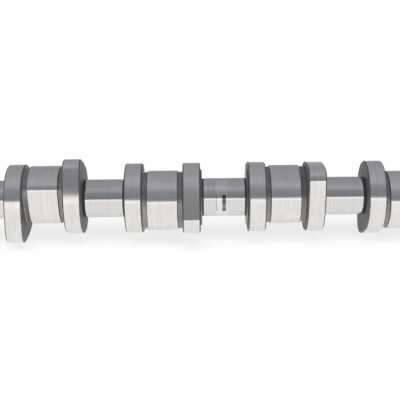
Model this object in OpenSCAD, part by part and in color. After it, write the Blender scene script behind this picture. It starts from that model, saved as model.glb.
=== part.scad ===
// Camshaft of a four-cylinder engine: per cylinder a wide injector lobe between two valve lobes,
// with a polished bearing journal between the cylinders and at both ends. One piece.
// The shaft lies along X, with its sprocket end at -X and its origin at the middle of journal 3.
// Angles are seen from the sprocket end: 0 is to the right (-Y) and 90 is up (+Z).

/* [Along the shaft] */
// Middle of the shaft to the middle of each inner cylinder's lobes
inner_cylinder_x = 45.3; // [44:0.05:48]
// Middle of the shaft to the middle of each outer cylinder's lobes
outer_cylinder_x = 132; // [130:0.5:140]
// Middle of a cylinder's lobes to the middle of its valve lobes
valve_lobe_offset = 21.25; // [20:0.05:22.5]
// Width of a valve lobe
valve_lobe_w = 13; // [11:0.1:14]
// Width of an injector lobe
injector_lobe_w = 22.2; // [16:0.2:24]
// Width of the relief between a valve lobe and its journal
relief_w = 1.4; // [1:0.05:2.5]
// Width of the two thrust collars, on the valve lobes beside journal 3
collar_w = 1.25; // [0.8:0.05:2]
// Width of the relief between a thrust collar and journal 3
thrust_relief_w = 0.7; // [0.5:0.05:1.5]
// Length of the two end journals
end_journal_l = 28.4; // [20:0.1:32]

/* [Round parts] */
// Diameter of the bearing journals
journal_d = 28.5; // [26:0.1:32]
// Chamfer on the ends of each journal
journal_chamfer = 0.4; // [0.1:0.1:0.8]
// Depth of the relief under the journals' surface
relief_depth = 0.25; // [0.1:0.05:0.5]
// Diameter of the thrust collars
collar_d = 42; // [36:0.5:44]
// Chamfer on the rim of a thrust collar
collar_chamfer = 0.7; // [0.2:0.1:0.7]

/* [Valve lobes] */
// Radius of a valve lobe's base circle
valve_base_r = 26; // [24:0.1:28]
// Lift of a valve lobe above its base circle
valve_lift = 8.7; // [8:0.1:9.5]
// Radius of a valve lobe's nose
valve_nose_r = 9.7; // [8:0.1:11]
// Radius of a valve lobe's flanks
valve_flank_r = 89; // [70:1:110]
// Chamfer on a valve lobe's edges
valve_chamfer = 0.9; // [0.3:0.1:1.5]

/* [Injector lobes] */
// Radius of an injector lobe's base circle
injector_base_r = 18.3; // [17.5:0.1:19]
// Radius of the steep flank, where the lobe rises
injector_flank_r = 61.2; // [56:0.2:66]
// Radius of the shoulder between the flank and the nose
injector_shoulder_r = 13.5; // [12:0.1:15]
// Radius of the nose
injector_nose_r = 7.6; // [6:0.1:9]
// Angle where the base circle ends and the steep flank starts
flank_from = -40; // [-42:0.5:-38]
// Angle where the shoulder starts
shoulder_from = -25; // [-27:0.5:-23]
// Angle where the nose starts
nose_from = -4; // [-8:0.5:0]
// Angle where the nose ends and the crown starts
crown_from = 22; // [18:0.5:26]
// Angle where the crown ends and the long closing side starts
closing_from = 80; // [76:0.5:84]
// Angle where the closing side runs out into the base circle
closing_to = 245; // [240:0.5:250]
// Chamfer on an injector lobe's edges
injector_chamfer = 0.3; // [0.1:0.1:0.8]
// How far the cast necks beside the injector lobes lie under its outline
neck_inset = 1.1; // [0.5:0.1:2]

/* [Timing] */
// Nose of the first cylinder's exhaust lobe
exhaust_angle = -45.6; // [-60:0.1:-30]
// Nose of the first cylinder's intake lobe
intake_angle = 67.8; // [50:0.1:80]
// Turn of the first cylinder's injector lobe
injector_angle = 18; // [0:0.5:36]

/* [Sprocket end] */
// Diameter of the plain land for the oil seal
seal_land_d = 27; // [24.5:0.1:27.5]
// Length of the land for the oil seal
seal_land_l = 10; // [6:0.5:16]
// Diameter of the sprocket taper at its thick end
taper_large_d = 24; // [20:0.5:26]
// Diameter of the sprocket taper at its thin end
taper_small_d = 19.5; // [18:0.5:20]
// Length of the sprocket taper
taper_l = 21; // [16:0.5:26]
// Core diameter of the M12 thread for the sprocket bolt
thread_core_d = 10.2; // [8.5:0.1:10.8]
// Depth of the threaded hole
thread_depth = 30; // [20:1:40]
// Diameter of the 60 degree centre at the mouth of the threaded hole
thread_mouth_d = 13; // [12:0.1:14]

/* [Plain end] */
// Diameter of the 60 degree centre in the plain end
end_centre_d = 9; // [6:0.1:12]
// Chamfer on the shaft's two end faces
end_chamfer = 1; // [0.4:0.1:1.5]

/* [Hidden] */
$fn = 96;
journal_r = journal_d / 2;
relief_r = journal_r - relief_depth;
// Half the length of one cylinder's three lobes
group_half = valve_lobe_offset + valve_lobe_w / 2;
// How far the relief, the collars and the necks run on into their neighbours
lap = 0.5;
// A hair's breadth, and the angle that a tight arc of a cam runs on under a wider one
hair = 0.003;
run_on = 8;
// Half the length of journal 3, and the inner and outer ends of journals 2 and 4
middle_half = inner_cylinder_x - group_half - collar_w - thrust_relief_w;
inner_journal_from = inner_cylinder_x + group_half + relief_w;
inner_journal_to = outer_cylinder_x - group_half - relief_w;
end_journal_from = outer_cylinder_x + group_half + relief_w;
end_journal_to = end_journal_from + end_journal_l;
seal_x = -end_journal_to - seal_land_l;
nose_x = seal_x - taper_l;
// Each cylinder: middle of its lobes, turn against the first, and side of its exhaust lobe
CYLINDERS = [
    [-outer_cylinder_x, 0, -1],
    [-inner_cylinder_x, -90, -1],
    [inner_cylinder_x, 90, 1],
    [outer_cylinder_x, 180, 1]
];

function toward(a) = [cos(a), sin(a)];
function bearing_of(p) = atan2(p[1], p[0]);
function past(a, before) = a < before ? a + 360 : a;
function wider_than(r, radii) = len([for (other = radii) if (other > r) other]);

// Radii of two neighbouring arcs that close a chain of tangent arcs: s * a + t * b = gap
function solve_pair(a, b, gap) =
    let (d = a[0] * b[1] - a[1] * b[0])
    [(gap[0] * b[1] - gap[1] * b[0]) / d, (a[0] * gap[1] - a[1] * gap[0]) / d];

// Centre of arc i in a chain whose base circle is about the origin: each arc is tangent to the last
function centre_of(angles, radii, base_r, i) =
    i == 0
    ? (base_r - radii[0]) * toward(angles[0])
    : centre_of(angles, radii, base_r, i - 1) + (radii[i - 1] - radii[i]) * toward(angles[i]);

// A disc standing on z = 0, w thick, with both of its rims chamfered
module disc(r, w, chamfer) {
    cylinder(h = chamfer, r1 = r - chamfer, r2 = r);
    translate([0, 0, chamfer]) cylinder(h = w - 2 * chamfer, r = r);
    translate([0, 0, w - chamfer]) cylinder(h = chamfer, r1 = r, r2 = r - chamfer);
}

// A cam w thick: the base circle, and tangent arcs from angles[i] to angles[i + 1] round it.
// Each arc is its disc inside the wedge of its two end points, laid over a polygon inside them all.
// Where two arcs meet, the tighter one runs on under its neighbour from a hair's breadth above it.
module cam(angles, radii, base_r, w, chamfer) {
    reach = 3 * base_r;
    last = len(radii) - 1;
    around = concat([base_r], radii, [base_r]);
    centres = [for (i = [0:last]) centre_of(angles, radii, base_r, i)];
    starts = [for (i = [0:last]) centres[i] + radii[i] * toward(angles[i])];
    ends = concat([for (i = [1:last]) starts[i]], [base_r * toward(angles[last + 1])]);
    disc(base_r + hair * wider_than(base_r, radii), w, chamfer);
    linear_extrude(w) polygon(concat([[0, 0]],
        [for (i = [0:last]) starts[i] - chamfer * toward(angles[i])],
        [(base_r - chamfer) * toward(angles[last + 1])]));
    for (i = [0:last]) {
        r = radii[i];
        from = bearing_of(starts[i]);
        to = past(bearing_of(ends[i]), from);
        run_from = from - (r < around[i] ? run_on : 0);
        run_to = to + (r < around[i + 2] ? run_on : 0);
        intersection() {
            translate(centres[i]) disc(r + hair * wider_than(r, around), w, chamfer);
            linear_extrude(w) polygon(concat([[0, 0]],
                [for (k = [0:4]) reach * toward(run_from + (run_to - run_from) * k / 4)]));
        }
    }
}

// Valve lobe, nose at angle 0: two flank arcs between the base circle and the nose
module valve_lobe() {
    nose_centre = valve_base_r + valve_lift - valve_nose_r;
    to_base = valve_flank_r - valve_base_r;
    to_nose = valve_flank_r - valve_nose_r;
    // The triangle of base, nose and flank centres gives the angles where the arcs meet
    base_end = 180 - acos((nose_centre ^ 2 + to_base ^ 2 - to_nose ^ 2) / (2 * nose_centre * to_base));
    nose_end = acos((nose_centre ^ 2 + to_nose ^ 2 - to_base ^ 2) / (2 * nose_centre * to_nose));
    cam(
        [-base_end, -nose_end, nose_end, base_end],
        [valve_flank_r, valve_nose_r, valve_flank_r],
        valve_base_r,
        valve_lobe_w,
        valve_chamfer
    );
}

// Injector lobe: flank, shoulder, nose, crown and closing side. The last two radii close the chain.
module injector_lobe(w, inset = 0) {
    angles = [flank_from, shoulder_from, nose_from, crown_from, closing_from, closing_to];
    turns = [for (i = [0:4]) toward(angles[i + 1]) - toward(angles[i])];
    gap = injector_base_r * (toward(closing_to) - toward(flank_from)) - injector_flank_r * turns[0]
        - injector_shoulder_r * turns[1] - injector_nose_r * turns[2];
    closing = solve_pair(turns[3], turns[4], gap);
    radii = concat([injector_flank_r, injector_shoulder_r, injector_nose_r], closing);
    cam(angles, [for (r = radii) r - inset], injector_base_r - inset, w, injector_chamfer);
}

// A cam w thick, drawn as seen from the sprocket end, with its middle at x
module on_shaft(x, w) {
    translate([x + w / 2, 0, 0]) rotate([90, 0, -90]) children();
}

// A round length of shaft from x = from to x = to, with a radius at each end
module turned(from, to, r_from, r_to) {
    translate([from, 0, 0]) rotate([0, 90, 0]) cylinder(h = to - from, r1 = r_from, r2 = r_to);
}

module journal(from, to) {
    edge_r = journal_r - journal_chamfer;
    turned(from + journal_chamfer, to - journal_chamfer, journal_r, journal_r);
    turned(from, from + journal_chamfer, edge_r, journal_r);
    turned(to - journal_chamfer, to, journal_r, edge_r);
}

// One cylinder's lobes about x = 0, with the necks between them
module cylinder_lobes(exhaust_side) {
    neck_w = 2 * valve_lobe_offset - valve_lobe_w + 2 * lap;
    on_shaft(0, injector_lobe_w) rotate(injector_angle) injector_lobe(injector_lobe_w);
    on_shaft(0, neck_w) rotate(injector_angle) injector_lobe(neck_w, neck_inset);
    for (side = [-1, 1])
        on_shaft(side * valve_lobe_offset, valve_lobe_w)
            rotate(side == exhaust_side ? exhaust_angle : intake_angle) valve_lobe();
}

// The reliefs on both sides of a cylinder's lobes, running on into the lobes and the journals
module reliefs() {
    for (side = [0, 1]) mirror([side, 0, 0])
        turned(group_half - lap, group_half + relief_w + lap, relief_r, relief_r);
}

// One side of journal 3: the relief beside it and the thrust collar on the next lobe
module thrust_collar() {
    collar_r = collar_d / 2;
    collar_to = middle_half + thrust_relief_w + collar_w;
    turned(middle_half - lap, collar_to, relief_r, relief_r);
    turned(collar_to - collar_w, collar_to - collar_w + collar_chamfer, collar_r - collar_chamfer, collar_r);
    turned(collar_to - collar_w + collar_chamfer, collar_to + lap, collar_r, collar_r);
}

module sprocket_end() {
    turned(seal_x, -end_journal_to + lap, seal_land_d / 2, seal_land_d / 2);
    turned(nose_x + end_chamfer, seal_x + lap, taper_small_d / 2, taper_large_d / 2);
    turned(nose_x, nose_x + end_chamfer, taper_small_d / 2 - end_chamfer, taper_small_d / 2);
}

// A 60 degree centre of mouth diameter d sunk into the end face at x, to the bore radius stop_r
module centre_drilling(x, d, stop_r, into) {
    depth = (d / 2 - stop_r) / tan(30);
    low = min(x, x + into * depth);
    turned(low, low + depth, into > 0 ? d / 2 : stop_r, into > 0 ? stop_r : d / 2);
}

module camshaft() {
    color([0.62, 0.62, 0.63]) difference() {
        union() {
            for (c = CYLINDERS)
                translate([c[0], 0, 0]) {
                    rotate([-c[1], 0, 0]) cylinder_lobes(c[2]);
                    reliefs();
                }
            journal(-middle_half, middle_half);
            for (side = [0, 1]) mirror([side, 0, 0]) {
                thrust_collar();
                journal(inner_journal_from, inner_journal_to);
                journal(end_journal_from, end_journal_to);
            }
            sprocket_end();
        }
        turned(nose_x - lap, nose_x + thread_depth, thread_core_d / 2, thread_core_d / 2);
        centre_drilling(nose_x, thread_mouth_d, thread_core_d / 2, 1);
        centre_drilling(end_journal_to, end_centre_d, 0, -1);
    }
}

camshaft();
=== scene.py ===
"""The dressed camshaft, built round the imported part, with its studio.

Lengths are written in millimetres and angles in degrees, and become metres and radians where
they are used. The shaft lies along X with its sprocket end at -X. Round the shaft, an angle is
seen from the sprocket end: 0 is toward -Y and 90 is up.
"""

import math

import bmesh
import bpy
from mathutils import Matrix, Vector


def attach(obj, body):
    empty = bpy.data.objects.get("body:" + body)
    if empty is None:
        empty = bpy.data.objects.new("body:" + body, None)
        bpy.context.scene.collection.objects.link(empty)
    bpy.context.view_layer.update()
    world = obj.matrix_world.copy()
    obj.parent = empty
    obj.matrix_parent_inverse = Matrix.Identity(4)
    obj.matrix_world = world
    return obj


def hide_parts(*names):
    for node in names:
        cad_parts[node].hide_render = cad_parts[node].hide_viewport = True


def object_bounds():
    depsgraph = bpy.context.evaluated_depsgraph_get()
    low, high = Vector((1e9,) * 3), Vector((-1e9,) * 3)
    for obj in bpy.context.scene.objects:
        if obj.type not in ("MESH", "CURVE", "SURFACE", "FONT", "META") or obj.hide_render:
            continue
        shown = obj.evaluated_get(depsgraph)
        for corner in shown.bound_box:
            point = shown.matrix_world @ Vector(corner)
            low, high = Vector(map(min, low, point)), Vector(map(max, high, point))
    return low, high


MM = 0.001

# Along the shaft
INNER_CYLINDER_X = 45.3
OUTER_CYLINDER_X = 132.0
VALVE_LOBE_OFFSET = 21.25
VALVE_LOBE_W = 13.0
INJECTOR_LOBE_W = 22.2
RELIEF_W = 1.4
COLLAR_W = 1.25
THRUST_RELIEF_W = 0.7
END_JOURNAL_L = 28.4

# Round parts
JOURNAL_R = 14.25
JOURNAL_CHAMFER = 0.4
RELIEF_R = 14.0
COLLAR_R = 21.0
COLLAR_CHAMFER = 0.7

# Valve lobes, with the nose at angle 0
VALVE_BASE_R = 26.0
VALVE_LIFT = 8.7
VALVE_NOSE_R = 9.7
VALVE_FLANK_R = 89.0
VALVE_CHAMFER = 0.9

# Injector lobes: the angles where the base circle, flank, shoulder, nose, crown and closing side
# meet, and the radii of the flank, shoulder and nose
INJECTOR_BASE_R = 18.3
INJECTOR_RADII = (61.2, 13.5, 7.6)
INJECTOR_ANGLES = (-40.0, -25.0, -4.0, 22.0, 80.0, 245.0)
INJECTOR_CHAMFER = 0.3
NECK_INSET = 1.1

# Timing: each cylinder's middle, its turn against the first, and the side of its exhaust lobe
EXHAUST_ANGLE = -45.6
INTAKE_ANGLE = 67.8
INJECTOR_ANGLE = 18.0
CYLINDERS = (
    (-OUTER_CYLINDER_X, 0.0, -1),
    (-INNER_CYLINDER_X, -90.0, -1),
    (INNER_CYLINDER_X, 90.0, 1),
    (OUTER_CYLINDER_X, 180.0, 1),
)

# The two ends. The flats of the thread's crest and root are shares of its pitch. The seal land
# starts inside the first journal, by the overlap, so that no gap is left between them
SEAL_LAND_R = 13.5
SEAL_LAND_L = 10.0
TAPER_LARGE_R = 12.0
TAPER_SMALL_R = 9.75
TAPER_L = 21.0
END_CHAMFER = 1.0
THREAD_CORE_R = 5.1
THREAD_MAJOR_R = 6.0
THREAD_PITCH = 1.75
THREAD_CREST = 0.25
THREAD_ROOT = 0.125
THREAD_DEPTH = 27.5
HOLE_DEPTH = 30.0
THREAD_MOUTH_R = 6.5
END_CENTRE_R = 4.5
LAND_CHAMFER = 0.3
OVERLAP = 1.0
CENTRE_HALF_ANGLE = 30.0

# Inner corners are filled to these radii, in this number of steps
LOBE_CORNER = 0.8
INJECTOR_CORNER = 0.4
RELIEF_CORNER = 0.4
COLLAR_CORNER = 0.2
ARC_STEPS = 3

# An edge is softened over the first of these, and the shading of a face is kept flat by a ring
# that lies one of the others away from its edge
SOFT = 0.07
SUPPORT = 0.15
HAIR = SUPPORT / 3

# Points round one ring of the shaft, and round one ring of the sprocket end
SHAFT_RING = 240
END_RING = 128
THREAD_STEPS = 12

# Materials of the shaft, in the order of its slots. The fifth, the near-black iron, is partly
# painted shade
POLISHED, GROUND, TURNED, CAST, DARK_PAINTED_SHADE, EDGE = range(6)
WHITE = (1.0, 1.0, 1.0)
STEEL_TINT = (1.0, 0.97, 0.945)
INK_BLACK = (0.13, 0.12, 0.115, 1.0)
INK_BLUE = (0.23, 0.26, 0.36, 1.0)

# Wear along the edges: its width and the samples it is found with, the cosines of the edge's turn
# at which it starts and is full, the fineness of its patches in features per metre, the span of
# their noise, and its least share
EDGE_WEAR_W = 0.15
WEAR_SAMPLES = 4
WEAR_STARTS = 0.99
WEAR_FULL = 0.90
WEAR_FINENESS = 400.0
WEAR_NOISE_LOW = 0.35
WEAR_NOISE_HIGH = 0.65
WEAR_LEAST = 0.2

# Noise: its usual detail and roughness, and the span of it that is spread over a range
NOISE_DETAIL = 3.0
NOISE_ROUGHNESS = 0.6
NOISE_LOW = 0.3
NOISE_HIGH = 0.7

# Derived places
GROUP_HALF = VALVE_LOBE_OFFSET + VALVE_LOBE_W / 2
MIDDLE_HALF = INNER_CYLINDER_X - GROUP_HALF - COLLAR_W - THRUST_RELIEF_W
END_JOURNAL_TO = OUTER_CYLINDER_X + GROUP_HALF + RELIEF_W + END_JOURNAL_L
SEAL_X = -END_JOURNAL_TO - SEAL_LAND_L
NOSE_X = SEAL_X - TAPER_L

# The photograph's view
CAMERA_ELEVATION = 18.0
CAMERA_ROLL = 0.656
CAMERA_DISTANCE = 650.6
CAMERA_AIM_X = -17.84
CAMERA_AIM_UP = -2.11
CAMERA_LENS = 78.12
CAMERA_NEAREST = 0.01
CAMERA_FARTHEST = 100.0
SENSOR = 36.0

# The studio. Its level and tint go by the angle up from the horizon in front and over the top.
# The floor is this large in metres, and this share of it is seen as plain white
FLOOR_HALF = 20.0
FLOOR_WHITE = 0.75
FLOOR_GREY = 0.93
LAMP_STRENGTH = 2.45
LAMP_ANGLE = 50.0
LAMP_ELEVATION = 60.0
STUDIO_PEAK = 1.3
COOL = (0.96, 1.0, 1.075)
CREAM = (1.0, 0.985, 0.975)
STUDIO_LEVELS = (
    (0.0, 1.18, CREAM),
    (8.8, 1.21, CREAM),
    (11.2, 0.29, COOL),
    (20.0, 0.26, COOL),
    (28.0, 0.27, COOL),
    (36.0, 0.30, COOL),
    (45.0, 0.30, COOL),
    (56.0, 0.40, COOL),
    (67.0, 0.45, COOL),
    (80.0, 0.445, COOL),
    (97.0, 0.385, COOL),
    (117.0, 0.38, COOL),
    (137.0, 0.355, COOL),
    (150.0, 0.33, COOL),
    (180.0, 0.40, COOL),
)

# Marks on journal 3, from its middle: a stroke of ink, the patch that was wiped beside it, and a
# fine score. A mark fades over its soft edge
INK_X = -0.17
INK_HALF_W = 1.2
INK_SOFT = 0.4
INK_MIDDLE = -2.6
INK_HALF_SPAN = 25.0
INK_SPAN_SOFT = 3.0
INK_BLUE_MIDDLE = -12.0
INK_BLUE_HALF_SPAN = 5.0
INK_BLUE_SOFT = 5.0
WIPED_X = -2.1
WIPED_HALF_W = 4.0
WIPED_GREY = 0.8
SCORE_X = -5.8
SCORE_HALF_W = 0.2
SCORE_GREY = 0.45
MARK_SOFT = 0.3


def toward(degrees):
    """The unit vector at an angle."""
    angle = math.radians(degrees)
    return Vector((math.cos(angle), math.sin(angle)))


def bearing(point):
    """The angle at which a point lies from the axis."""
    return math.degrees(math.atan2(point.y, point.x))


class Cam:
    """A cam's outline: the base circle and a chain of tangent arcs, turned about the shaft."""

    def __init__(self, angles, radii, base_r, turn):
        self.angles = angles
        self.radii = radii
        self.base_r = base_r
        self.turn = turn
        centre = (base_r - radii[0]) * toward(angles[0])
        self.centres = [centre]
        for i in range(1, len(radii)):
            centre = centre + (radii[i - 1] - radii[i]) * toward(angles[i])
            self.centres.append(centre)

    def ring(self, count, out):
        """Distances from the axis at count even angles, with the outline moved out by out."""
        arcs = []
        for i, centre in enumerate(self.centres):
            r = self.radii[i] + out
            start = bearing(centre + r * toward(self.angles[i]))
            end = bearing(centre + r * toward(self.angles[i + 1]))
            arcs.append((centre, r, start, (end - start) % 360))
        distances = []
        for k in range(count):
            angle = 360.0 * k / count - self.turn
            distance = self.base_r + out
            for centre, r, start, span in arcs:
                if (angle - start) % 360 <= span:
                    along = centre.dot(toward(angle))
                    distance = along + math.sqrt(along * along - centre.length_squared + r * r)
                    break
            distances.append(distance)
        return distances


class Round:
    """A round length of shaft."""

    def __init__(self, r):
        self.r = r

    def ring(self, count, out):
        return [self.r + out] * count


def valve_cam(turn):
    """A valve lobe, from the triangle of its base, nose and flank centres."""
    nose = VALVE_BASE_R + VALVE_LIFT - VALVE_NOSE_R
    to_base = VALVE_FLANK_R - VALVE_BASE_R
    to_nose = VALVE_FLANK_R - VALVE_NOSE_R
    base_cos = (nose**2 + to_base**2 - to_nose**2) / (2 * nose * to_base)
    nose_cos = (nose**2 + to_nose**2 - to_base**2) / (2 * nose * to_nose)
    base_end = 180 - math.degrees(math.acos(base_cos))
    nose_end = math.degrees(math.acos(nose_cos))
    angles = (-base_end, -nose_end, nose_end, base_end)
    return Cam(angles, (VALVE_FLANK_R, VALVE_NOSE_R, VALVE_FLANK_R), VALVE_BASE_R, turn)


def injector_cam(turn):
    """An injector lobe. The radii of the crown and the closing side close the chain of arcs."""
    marks = [toward(a) for a in INJECTOR_ANGLES]
    turns = [after - before for before, after in zip(marks, marks[1:])]
    gap = INJECTOR_BASE_R * (marks[-1] - marks[0])
    for r, part in zip(INJECTOR_RADII, turns):
        gap = gap - r * part
    crown, closing = turns[-2:]
    cross = crown.x * closing.y - crown.y * closing.x
    crown_r = (gap.x * closing.y - gap.y * closing.x) / cross
    closing_r = (crown.x * gap.y - crown.y * gap.x) / cross
    return Cam(INJECTOR_ANGLES, (*INJECTOR_RADII, crown_r, closing_r), INJECTOR_BASE_R, turn)


class Loft:
    """A closed skin laid over rings round the X axis, from -X to +X."""

    def __init__(self, count):
        self.count = count
        self.mesh = bmesh.new()
        self.last = None

    def strip(self, ring, skin):
        for k in range(self.count):
            after = (k + 1) % self.count
            corners = (self.last[k], self.last[after], ring[after], ring[k])
            face = self.mesh.faces.new(corners)
            face.material_index = skin
            face.smooth = True

    def ring(self, x, distances, skin):
        """Adds a ring at x, and the faces that join it to the ring before it."""
        ring = []
        for k, distance in enumerate(distances):
            out = toward(360.0 * k / self.count) * distance
            ring.append(self.mesh.verts.new((x * MM, -out.x * MM, out.y * MM)))
        if self.last:
            self.strip(ring, skin)
        self.last = ring

    def round(self, x, r, skin):
        self.ring(x, [r] * self.count, skin)

    def cap(self, x, skin):
        """Joins the last ring to a point on the axis at x."""
        tip = self.mesh.verts.new((x * MM, 0.0, 0.0))
        for k in range(self.count):
            face = self.mesh.faces.new((self.last[k], self.last[(k + 1) % self.count], tip))
            face.material_index = skin
            face.smooth = True

    def finish(self, name, materials):
        bmesh.ops.recalc_face_normals(self.mesh, faces=self.mesh.faces)
        data = bpy.data.meshes.new(name)
        self.mesh.to_mesh(data)
        self.mesh.free()
        for material in materials:
            data.materials.append(material)
        piece = bpy.data.objects.new(name, data)
        bpy.context.scene.collection.objects.link(piece)
        return piece


def step(loft, x, shape, low, chamfer, corner, skins, rising):
    """The face at x between a high shape and a low one: edge chamfered, corner filled.

    It is laid from the low shape to the high one where the shaft is rising along +X, and the
    other way round where it is falling. skins are those of the high shape, the chamfer, the
    face and the low shape.
    """
    side = 1 if rising else -1
    count = loft.count
    high_skin, edge_skin, face_skin, low_skin = skins
    rings = [(x - side * (corner + SUPPORT), low.ring(count, 0), low_skin)]
    for i in range(ARC_STEPS + 1):
        beta = math.radians(90.0 * i / ARC_STEPS)
        at = x - side * corner * (1 - math.sin(beta))
        rings.append((at, low.ring(count, corner * (1 - math.cos(beta))), low_skin))
    rings.append((x, low.ring(count, corner + SUPPORT), face_skin))
    rings.append((x, shape.ring(count, -chamfer - SOFT), face_skin))
    rings.append((x, shape.ring(count, -chamfer), face_skin))
    rings.append((x + side * SOFT, shape.ring(count, SOFT - chamfer), edge_skin))
    rings.append((x + side * (chamfer - SOFT), shape.ring(count, -SOFT), edge_skin))
    rings.append((x + side * chamfer, shape.ring(count, 0), edge_skin))
    rings.append((x + side * (chamfer + SOFT), shape.ring(count, 0), high_skin))
    if rising:
        for at, distances, skin in rings:
            loft.ring(at, distances, skin)
        return
    # Falling: a strip's skin belongs to the ring that is laid second
    skins_down = [high_skin] + [skin for _, _, skin in reversed(rings)][:-1]
    for (at, distances, _), skin in zip(reversed(rings), skins_down):
        loft.ring(at, distances, skin)


def lay_side(loft, face, lobe, rising):
    """The side of a valve lobe that faces a journal, with a thrust collar beside journal 3."""
    relief = Round(RELIEF_R)
    side = 1 if rising else -1
    # Reliefs and the corners by the collars are laid in the near-black iron, which is partly
    # painted shade
    skins = (GROUND, EDGE, TURNED, DARK_PAINTED_SHADE)
    if abs(face) > INNER_CYLINDER_X:
        step(loft, face, lobe, relief, VALVE_CHAMFER, RELIEF_CORNER, skins, rising)
        return
    collar = Round(COLLAR_R)
    collar_skins = (CAST, CAST, CAST, DARK_PAINTED_SHADE)
    steps = [
        (face - side * COLLAR_W, collar, relief, COLLAR_CHAMFER, COLLAR_CORNER, collar_skins),
        (face, lobe, collar, VALVE_CHAMFER, COLLAR_CORNER, skins),
    ]
    for x, high, low, chamfer, corner, laid in steps if rising else reversed(steps):
        step(loft, x, high, low, chamfer, corner, laid, rising)


def lay_cylinder(loft, middle, turn, exhaust_side):
    """One cylinder's group: valve lobe, neck, injector lobe, neck and valve lobe."""
    injector = injector_cam(INJECTOR_ANGLE + turn)
    half = INJECTOR_LOBE_W / 2
    valve_half = VALVE_LOBE_W / 2
    valves = {}
    for side in (-1, 1):
        angle = EXHAUST_ANGLE if side == exhaust_side else INTAKE_ANGLE
        valves[side] = valve_cam(angle + turn)
    neck_radii = [r - NECK_INSET for r in injector.radii]
    neck = Cam(injector.angles, neck_radii, injector.base_r - NECK_INSET, injector.turn)
    valve_skins = (GROUND, EDGE, TURNED, CAST)
    neck_skins = (GROUND, GROUND, TURNED, CAST)
    left, right = valves[-1], valves[1]
    lay_side(loft, middle - GROUP_HALF, left, True)
    at = middle - VALVE_LOBE_OFFSET + valve_half
    step(loft, at, left, neck, VALVE_CHAMFER, LOBE_CORNER, valve_skins, False)
    for side, rising in ((-1, True), (1, False)):
        at = middle + side * half
        step(loft, at, injector, neck, INJECTOR_CHAMFER, INJECTOR_CORNER, neck_skins, rising)
    at = middle + VALVE_LOBE_OFFSET - valve_half
    step(loft, at, right, neck, VALVE_CHAMFER, LOBE_CORNER, valve_skins, True)
    lay_side(loft, middle + GROUP_HALF, right, False)


def start_journal(loft, start):
    """The chamfer from a relief up to a journal that starts at start."""
    foot = start + JOURNAL_CHAMFER - (JOURNAL_R - RELIEF_R)
    # The relief and the chamfer up to the journal are near black, partly painted shade
    loft.round(foot - HAIR, RELIEF_R, DARK_PAINTED_SHADE)
    loft.round(foot, RELIEF_R, DARK_PAINTED_SHADE)
    loft.round(start + JOURNAL_CHAMFER, JOURNAL_R, DARK_PAINTED_SHADE)
    loft.round(start + JOURNAL_CHAMFER + SUPPORT, JOURNAL_R, POLISHED)


def end_journal(loft, end):
    """The chamfer from a journal that ends at end down to a relief."""
    foot = end - JOURNAL_CHAMFER + (JOURNAL_R - RELIEF_R)
    loft.round(end - JOURNAL_CHAMFER - SUPPORT, JOURNAL_R, POLISHED)
    loft.round(end - JOURNAL_CHAMFER, JOURNAL_R, POLISHED)
    # The chamfer down to the relief and the relief are near black, partly painted shade
    loft.round(foot, RELIEF_R, DARK_PAINTED_SHADE)
    loft.round(foot + HAIR, RELIEF_R, DARK_PAINTED_SHADE)


def start_shaft(loft):
    """The first journal, from the face that the seal land stands on."""
    start = -END_JOURNAL_TO
    edge = JOURNAL_R - JOURNAL_CHAMFER
    loft.round(start, SUPPORT, TURNED)
    loft.cap(start, TURNED)
    loft.round(start, edge - SUPPORT, TURNED)
    loft.round(start, edge, TURNED)
    loft.round(start + JOURNAL_CHAMFER, JOURNAL_R, TURNED)
    loft.round(start + JOURNAL_CHAMFER + SUPPORT, JOURNAL_R, POLISHED)
    end_journal(loft, start + END_JOURNAL_L)


def end_shaft(loft):
    """The last journal, with the 60 degree centre in its end face."""
    end = END_JOURNAL_TO
    edge = JOURNAL_R - JOURNAL_CHAMFER
    slope = math.tan(math.radians(CENTRE_HALF_ANGLE))
    start_journal(loft, end - END_JOURNAL_L)
    loft.round(end - JOURNAL_CHAMFER - SUPPORT, JOURNAL_R, POLISHED)
    loft.round(end - JOURNAL_CHAMFER, JOURNAL_R, POLISHED)
    loft.round(end, edge, TURNED)
    loft.round(end, edge - SUPPORT, TURNED)
    loft.round(end, END_CENTRE_R + SUPPORT, TURNED)
    loft.round(end, END_CENTRE_R, TURNED)
    loft.round(end - SUPPORT / slope, END_CENTRE_R - SUPPORT, TURNED)
    loft.cap(end - END_CENTRE_R / slope, TURNED)


def make_shaft(materials):
    """The whole shaft apart from what stands on its sprocket end."""
    loft = Loft(SHAFT_RING)
    start_shaft(loft)
    inner_from = INNER_CYLINDER_X + GROUP_HALF + RELIEF_W
    inner_to = OUTER_CYLINDER_X - GROUP_HALF - RELIEF_W
    journals = ((-inner_to, -inner_from), (-MIDDLE_HALF, MIDDLE_HALF), (inner_from, inner_to))
    for i, (middle, turn, exhaust_side) in enumerate(CYLINDERS):
        lay_cylinder(loft, middle, turn, exhaust_side)
        if i < len(journals):
            start_journal(loft, journals[i][0])
            end_journal(loft, journals[i][1])
    end_shaft(loft)
    return loft.finish("shaft", materials)


def groove_at(phase):
    """How deep the thread's groove is at a phase of its pitch: 0 at the crest, 1 at the root."""
    flank = (1 - THREAD_CREST - THREAD_ROOT) / 2
    if phase < THREAD_CREST:
        return 0.0
    if phase < THREAD_CREST + flank:
        return (phase - THREAD_CREST) / flank
    if phase < THREAD_CREST + flank + THREAD_ROOT:
        return 1.0
    return (1 - phase) / flank


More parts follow.
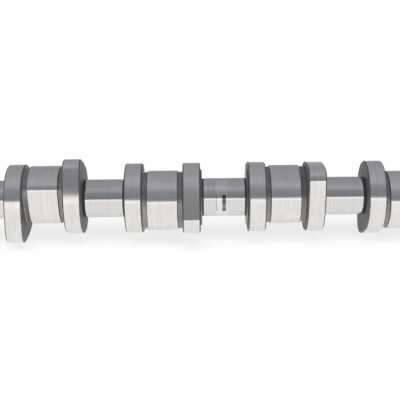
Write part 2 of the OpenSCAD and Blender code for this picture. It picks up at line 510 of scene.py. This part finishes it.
def make_sprocket_end(materials):
    """The seal land, the taper and the threaded hole, laid from inside the first journal."""
    loft = Loft(END_RING)
    slope = math.tan(math.radians(CENTRE_HALF_ANGLE))
    bottom = NOSE_X + HOLE_DEPTH
    inside = -END_JOURNAL_TO + OVERLAP
    land_edge = SEAL_X + LAND_CHAMFER
    loft.round(inside, SUPPORT, TURNED)
    loft.cap(inside, TURNED)
    loft.round(inside, SEAL_LAND_R, TURNED)
    for at in (inside - SUPPORT, -END_JOURNAL_TO, land_edge + SUPPORT, land_edge):
        loft.round(at, SEAL_LAND_R, POLISHED)
    loft.round(SEAL_X, SEAL_LAND_R - LAND_CHAMFER, TURNED)
    loft.round(SEAL_X, SEAL_LAND_R - LAND_CHAMFER - SUPPORT, TURNED)
    loft.round(SEAL_X, TAPER_LARGE_R + SUPPORT, TURNED)
    loft.round(SEAL_X, TAPER_LARGE_R, TURNED)
    loft.round(SEAL_X - SUPPORT, TAPER_LARGE_R, GROUND)
    loft.round(NOSE_X + END_CHAMFER + SUPPORT, TAPER_SMALL_R, GROUND)
    loft.round(NOSE_X + END_CHAMFER, TAPER_SMALL_R, GROUND)
    loft.round(NOSE_X, TAPER_SMALL_R - END_CHAMFER, TURNED)
    loft.round(NOSE_X, TAPER_SMALL_R - END_CHAMFER - SUPPORT, TURNED)
    loft.round(NOSE_X, THREAD_MOUTH_R + SUPPORT, TURNED)
    loft.round(NOSE_X, THREAD_MOUTH_R, TURNED)
    # The thread runs out into the mouth's cone: each point lies on the deeper of the two
    for i in range(1, int(THREAD_DEPTH / THREAD_PITCH * THREAD_STEPS) + 1):
        x = NOSE_X + i * THREAD_PITCH / THREAD_STEPS
        cone = THREAD_MOUTH_R - (x - NOSE_X) * slope
        distances = []
        for k in range(END_RING):
            groove = groove_at((x / THREAD_PITCH + k / END_RING) % 1.0)
            distances.append(max(THREAD_CORE_R + (THREAD_MAJOR_R - THREAD_CORE_R) * groove, cone))
        loft.ring(x, distances, TURNED)
    loft.round(NOSE_X + THREAD_DEPTH, THREAD_CORE_R, TURNED)
    loft.round(bottom - THREAD_CORE_R * slope, THREAD_CORE_R, TURNED)
    loft.cap(bottom, TURNED)
    return loft.finish("sprocket_end", materials)


class Nodes:
    """A node tree, with short ways to add to it."""

    def __init__(self, tree):
        self.tree = tree
        self.tree.nodes.clear()

    def add(self, kind, inputs=None, **settings):
        """Adds a node. Its inputs are given as sockets to link or as plain values."""
        node = self.tree.nodes.new(kind)
        for key, value in settings.items():
            setattr(node, key, value)
        for key, value in (inputs or {}).items():
            if isinstance(value, bpy.types.NodeSocket):
                self.tree.links.new(value, node.inputs[key])
            else:
                node.inputs[key].default_value = value
        return node

    def math(self, operation, a, b=0.0):
        return self.add("ShaderNodeMath", {0: a, 1: b}, operation=operation).outputs[0]

    def position(self):
        return self.add("ShaderNodeTexCoord").outputs["Object"]

    def noise(self, along, across, detail=NOISE_DETAIL, roughness=NOISE_ROUGHNESS):
        """Noise with its own fineness along the shaft and across it, in features per metre."""
        scale = (along, across, across)
        inputs = {"Vector": self.position(), "Scale": scale}
        place = self.add("ShaderNodeMapping", inputs).outputs["Vector"]
        inputs = {"Vector": place, "Scale": 1.0, "Detail": detail, "Roughness": roughness}
        return self.add("ShaderNodeTexNoise", inputs).outputs["Fac"]

    def rings(self, fineness):
        """Noise that goes by the distance from the shaft's axis only."""
        inputs = {"Vector": self.position(), "Scale": (0.0, fineness, fineness)}
        place = self.add("ShaderNodeMapping", inputs).outputs["Vector"]
        out = self.add("ShaderNodeVectorMath", {0: place}, operation="LENGTH").outputs["Value"]
        inputs = {"W": out, "Scale": 1.0, "Detail": NOISE_DETAIL, "Roughness": NOISE_ROUGHNESS}
        return self.add("ShaderNodeTexNoise", inputs, noise_dimensions="1D").outputs["Fac"]

    def spread(self, value, low, high, low_to, high_to):
        """The value, with low to high spread over low_to to high_to and no further."""
        inputs = {
            "Value": value,
            "From Min": low,
            "From Max": high,
            "To Min": low_to,
            "To Max": high_to,
        }
        return self.add("ShaderNodeMapRange", inputs).outputs["Result"]

    def within(self, value, middle, half, soft):
        """1 where the value is within half of the middle, fading to 0 over soft."""
        away = self.math("ABSOLUTE", self.math("SUBTRACT", value, middle))
        return self.spread(away, half, half + soft, 1.0, 0.0)

    def mix(self, factor, a, b):
        """A mix of two colours, which are the node's sockets 6 and 7 and its output 2."""
        return self.add("ShaderNodeMix", {0: factor, 6: a, 7: b}, data_type="RGBA").outputs[2]

    def between(self, noise, low, high):
        """A value between low and high, by noise."""
        return self.spread(noise, NOISE_LOW, NOISE_HIGH, low, high)

    def shade(self, noise, dark, light):
        """A colour between two greys, by noise."""
        return self.mix(self.between(noise, 0.0, 1.0), grey(dark), grey(light))

    def blend(self, a, b):
        """The mean of two noises."""
        return self.math("MULTIPLY", self.math("ADD", a, b), 0.5)

    def worn(self, colour, bare):
        """The colour, rubbed through to bare metal in patches along the edges."""
        inputs = {"Radius": EDGE_WEAR_W * MM}
        rounded = self.add("ShaderNodeBevel", inputs, samples=WEAR_SAMPLES).outputs["Normal"]
        normal = self.add("ShaderNodeNewGeometry").outputs["Normal"]
        inputs = {0: rounded, 1: normal}
        facing = self.add("ShaderNodeVectorMath", inputs, operation="DOT_PRODUCT").outputs["Value"]
        edge = self.spread(facing, WEAR_FULL, WEAR_STARTS, 1.0, 0.0)
        noise = self.noise(WEAR_FINENESS, WEAR_FINENESS)
        patches = self.spread(noise, WEAR_NOISE_LOW, WEAR_NOISE_HIGH, WEAR_LEAST, 1.0)
        return self.mix(self.math("MULTIPLY", edge, patches), colour, grey(bare))

    def metal(self, colour, metallic, roughness, height, strength, depth):
        """Joins a metal surface to the tree's output, with a bump of the height, depth mm deep."""
        inputs = {"Strength": strength, "Distance": depth * MM, "Height": height}
        bump = self.add("ShaderNodeBump", inputs).outputs["Normal"]
        shader = self.add("ShaderNodeBsdfPrincipled", {
            "Base Color": colour,
            "Metallic": metallic,
            "Roughness": roughness,
            "Normal": bump,
        })
        self.add("ShaderNodeOutputMaterial", {"Surface": shader.outputs[0]})


def new_material(name):
    material = bpy.data.materials.new(name)
    material.use_nodes = True
    return material, Nodes(material.node_tree)


def grey(level, tint=STEEL_TINT):
    return (level * tint[0], level * tint[1], level * tint[2], 1.0)


def marked(nodes, colour):
    """The polished steel's colour with the marks on journal 3."""
    place = nodes.add("ShaderNodeSeparateXYZ", {0: nodes.position()}).outputs
    along = nodes.math("DIVIDE", place["X"], MM)
    front = nodes.math("MULTIPLY", place["Y"], -1.0)
    angle = nodes.math("DEGREES", nodes.math("ARCTAN2", place["Z"], front))
    span = nodes.within(angle, INK_MIDDLE, INK_HALF_SPAN, INK_SPAN_SOFT)
    wiped = nodes.within(along, WIPED_X, WIPED_HALF_W, MARK_SOFT)
    colour = nodes.mix(wiped, colour, grey(WIPED_GREY))
    score = nodes.within(along, SCORE_X, SCORE_HALF_W, MARK_SOFT)
    colour = nodes.mix(nodes.math("MULTIPLY", score, span), colour, grey(SCORE_GREY))
    blue = nodes.within(angle, INK_BLUE_MIDDLE, INK_BLUE_HALF_SPAN, INK_BLUE_SOFT)
    ink = nodes.mix(blue, INK_BLACK, INK_BLUE)
    stroke = nodes.within(along, INK_X, INK_HALF_W, INK_SOFT)
    return nodes.mix(nodes.math("MULTIPLY", stroke, span), colour, ink)


def polished_steel():
    """Journals and the seal land: near a mirror, with hair-fine polishing lines round them."""
    material, nodes = new_material("polished_steel")
    lines = nodes.noise(along=9000.0, across=40.0)
    broad = nodes.noise(along=700.0, across=12.0)
    colour = marked(nodes, nodes.shade(broad, dark=0.68, light=0.74))
    rough = nodes.between(lines, low=0.05, high=0.12)
    colour = nodes.worn(colour, bare=0.8)
    nodes.metal(colour, metallic=1.0, roughness=rough, height=lines, strength=0.02, depth=0.1)
    return material


def ground_steel():
    """Cam faces and the taper: ground round the shaft, satin, with faint streaks and clouds."""
    material, nodes = new_material("ground_steel")
    lines = nodes.noise(along=5000.0, across=60.0, detail=4.0)
    streaks = nodes.noise(along=900.0, across=30.0)
    clouds = nodes.noise(along=260.0, across=140.0)
    colour = nodes.shade(nodes.blend(streaks, clouds), dark=0.70, light=0.84)
    rough = nodes.between(lines, low=0.10, high=0.20)
    colour = nodes.worn(colour, bare=0.86)
    nodes.metal(colour, metallic=1.0, roughness=rough, height=lines, strength=0.05, depth=0.1)
    return material


def turned_steel():
    """Side faces of the lobes and the shaft's end faces: turned, with rings about the axis."""
    material, nodes = new_material("turned_steel")
    rings = nodes.rings(fineness=2500.0)
    blotches = nodes.noise(along=250.0, across=250.0, detail=4.0)
    colour = nodes.shade(nodes.blend(rings, blotches), dark=0.13, light=0.20)
    rough = nodes.between(blotches, low=0.5, high=0.65)
    colour = nodes.worn(colour, bare=0.6)
    nodes.metal(colour, metallic=0.5, roughness=rough, height=rings, strength=0.2, depth=0.1)
    return material


def cast_iron():
    """Necks and thrust collars: the grainy skin of the casting."""
    material, nodes = new_material("cast_iron")
    grain = nodes.noise(along=900.0, across=900.0, detail=4.0, roughness=0.7)
    blotches = nodes.noise(along=120.0, across=120.0)
    colour = nodes.shade(blotches, dark=0.26, light=0.38)
    rough = nodes.between(grain, low=0.32, high=0.46)
    colour = nodes.worn(colour, bare=0.5)
    nodes.metal(colour, metallic=1.0, roughness=rough, height=grain, strength=0.4, depth=0.3)
    return material


def chamfer_steel():
    """Chamfers of the lobes: turned before the hardening, and much darker than the faces beside
    them.
    """
    material, nodes = new_material("chamfer_steel")
    lines = nodes.noise(along=3000.0, across=200.0)
    blotches = nodes.noise(along=180.0, across=180.0)
    colour = nodes.shade(blotches, dark=0.12, light=0.20)
    rough = nodes.between(lines, low=0.35, high=0.5)
    colour = nodes.worn(colour, bare=0.6)
    nodes.metal(colour, metallic=0.7, roughness=rough, height=lines, strength=0.2, depth=0.1)
    return material


def dark_iron_painted_shade():
    """Reliefs and their corners: rough and nearly black, partly their own dark skin and partly
    painted shade of the grooves.
    """
    material, nodes = new_material("dark_iron_painted_shade")
    grain = nodes.noise(along=1200.0, across=700.0, detail=4.0, roughness=0.7)
    blotches = nodes.noise(along=150.0, across=150.0)
    colour = nodes.shade(blotches, dark=0.04, light=0.08)
    rough = nodes.between(grain, low=0.4, high=0.55)
    colour = nodes.worn(colour, bare=0.2)
    nodes.metal(colour, metallic=0.6, roughness=rough, height=grain, strength=0.3, depth=0.2)
    return material


def make_floor(level):
    """A wide white floor that the shaft rests on, and that the steel mirrors."""
    material, nodes = new_material("white_floor")
    lit = nodes.add("ShaderNodeBsdfDiffuse", {"Color": grey(FLOOR_GREY, WHITE)})
    white = nodes.add("ShaderNodeEmission", {"Strength": 1.0})
    rays = nodes.add("ShaderNodeLightPath").outputs
    seen = nodes.math("ADD", rays["Is Camera Ray"], rays["Is Glossy Ray"])
    seen = nodes.math("ADD", seen, rays["Is Transmission Ray"])
    share = nodes.math("MULTIPLY", seen, FLOOR_WHITE)
    shader = nodes.add("ShaderNodeMixShader", {0: share, 1: lit.outputs[0], 2: white.outputs[0]})
    nodes.add("ShaderNodeOutputMaterial", {"Surface": shader.outputs[0]})
    data = bpy.data.meshes.new("floor")
    half = FLOOR_HALF
    corners = [(-half, -half), (half, -half), (half, half), (-half, half)]
    data.from_pydata([(x, y, level) for x, y in corners], [], [(0, 1, 2, 3)])
    data.materials.append(material)
    floor = bpy.data.objects.new("floor", data)
    bpy.context.scene.collection.objects.link(floor)


def make_world():
    """The studio over the floor, by the angle up from the horizon in front and over the top."""
    world = bpy.data.worlds.new("studio")
    world.use_nodes = True
    bpy.context.scene.world = world
    nodes = Nodes(world.node_tree)
    direction = nodes.add("ShaderNodeTexCoord").outputs["Generated"]
    toward_sky = nodes.add("ShaderNodeSeparateXYZ", {0: direction}).outputs
    front = nodes.math("MULTIPLY", toward_sky["Y"], -1.0)
    angle = nodes.math("ARCTAN2", toward_sky["Z"], front)
    share = nodes.spread(angle, 0.0, math.pi, 0.0, 1.0)
    ramp = nodes.add("ShaderNodeValToRGB", {"Fac": share})
    elements = ramp.color_ramp.elements
    for i, (degrees, level, tint) in enumerate(STUDIO_LEVELS):
        place = degrees / 180.0
        element = elements[i] if i < 2 else elements.new(place)
        element.position = place
        element.color = grey(level / STUDIO_PEAK, tint)
    inputs = {"Color": ramp.outputs["Color"], "Strength": STUDIO_PEAK}
    studio = nodes.add("ShaderNodeBackground", inputs).outputs[0]
    nodes.add("ShaderNodeOutputWorld", {"Surface": studio})


def make_lamp():
    """A wide soft lamp above and in front. It isn't mirrored in the steel."""
    data = bpy.data.lights.new("front", "SUN")
    data.energy = LAMP_STRENGTH
    data.angle = math.radians(LAMP_ANGLE)
    lamp = bpy.data.objects.new("front", data)
    lamp.rotation_euler = (math.radians(90.0 - LAMP_ELEVATION), 0.0, 0.0)
    lamp.visible_glossy = False
    bpy.context.scene.collection.objects.link(lamp)


def make_camera():
    """The photograph's view: level along the shaft, 18 degrees above it, with a slight roll."""
    elevation = math.radians(CAMERA_ELEVATION)
    roll = math.radians(CAMERA_ROLL)
    across = Vector((1.0, 0.0, 0.0))
    upright = Vector((0.0, math.sin(elevation), math.cos(elevation)))
    forward = Vector((0.0, math.cos(elevation), -math.sin(elevation)))
    right = math.cos(roll) * across - math.sin(roll) * upright
    up = math.sin(roll) * across + math.cos(roll) * upright
    target = (CAMERA_AIM_X * across + CAMERA_AIM_UP * up) * MM
    location = target - CAMERA_DISTANCE * MM * forward
    data = bpy.data.cameras.new("camera")
    data.lens = CAMERA_LENS
    data.sensor_width = SENSOR
    data.clip_start = CAMERA_NEAREST
    data.clip_end = CAMERA_FARTHEST
    camera = bpy.data.objects.new("camera", data)
    turn = Matrix((right, up, -forward)).transposed()
    camera.matrix_world = Matrix.Translation(location) @ turn.to_4x4()
    bpy.context.scene.collection.objects.link(camera)
    bpy.context.scene.camera = camera


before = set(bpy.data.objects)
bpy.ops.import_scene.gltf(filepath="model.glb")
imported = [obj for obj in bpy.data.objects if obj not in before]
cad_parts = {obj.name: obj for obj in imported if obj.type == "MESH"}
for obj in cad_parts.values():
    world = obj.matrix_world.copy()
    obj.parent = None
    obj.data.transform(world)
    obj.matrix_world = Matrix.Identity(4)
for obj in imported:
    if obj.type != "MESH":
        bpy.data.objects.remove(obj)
cad_low, cad_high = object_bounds()

make_camera()
finishes = [
    polished_steel(),
    ground_steel(),
    turned_steel(),
    cast_iron(),
    dark_iron_painted_shade(),
    chamfer_steel(),
]
for piece in (make_shaft(finishes), make_sprocket_end(finishes)):
    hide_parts("camshaft")
    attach(piece, "root")
make_floor(cad_low.z)
make_world()
make_lamp()
bpy.context.scene.view_settings.view_transform = "Standard"
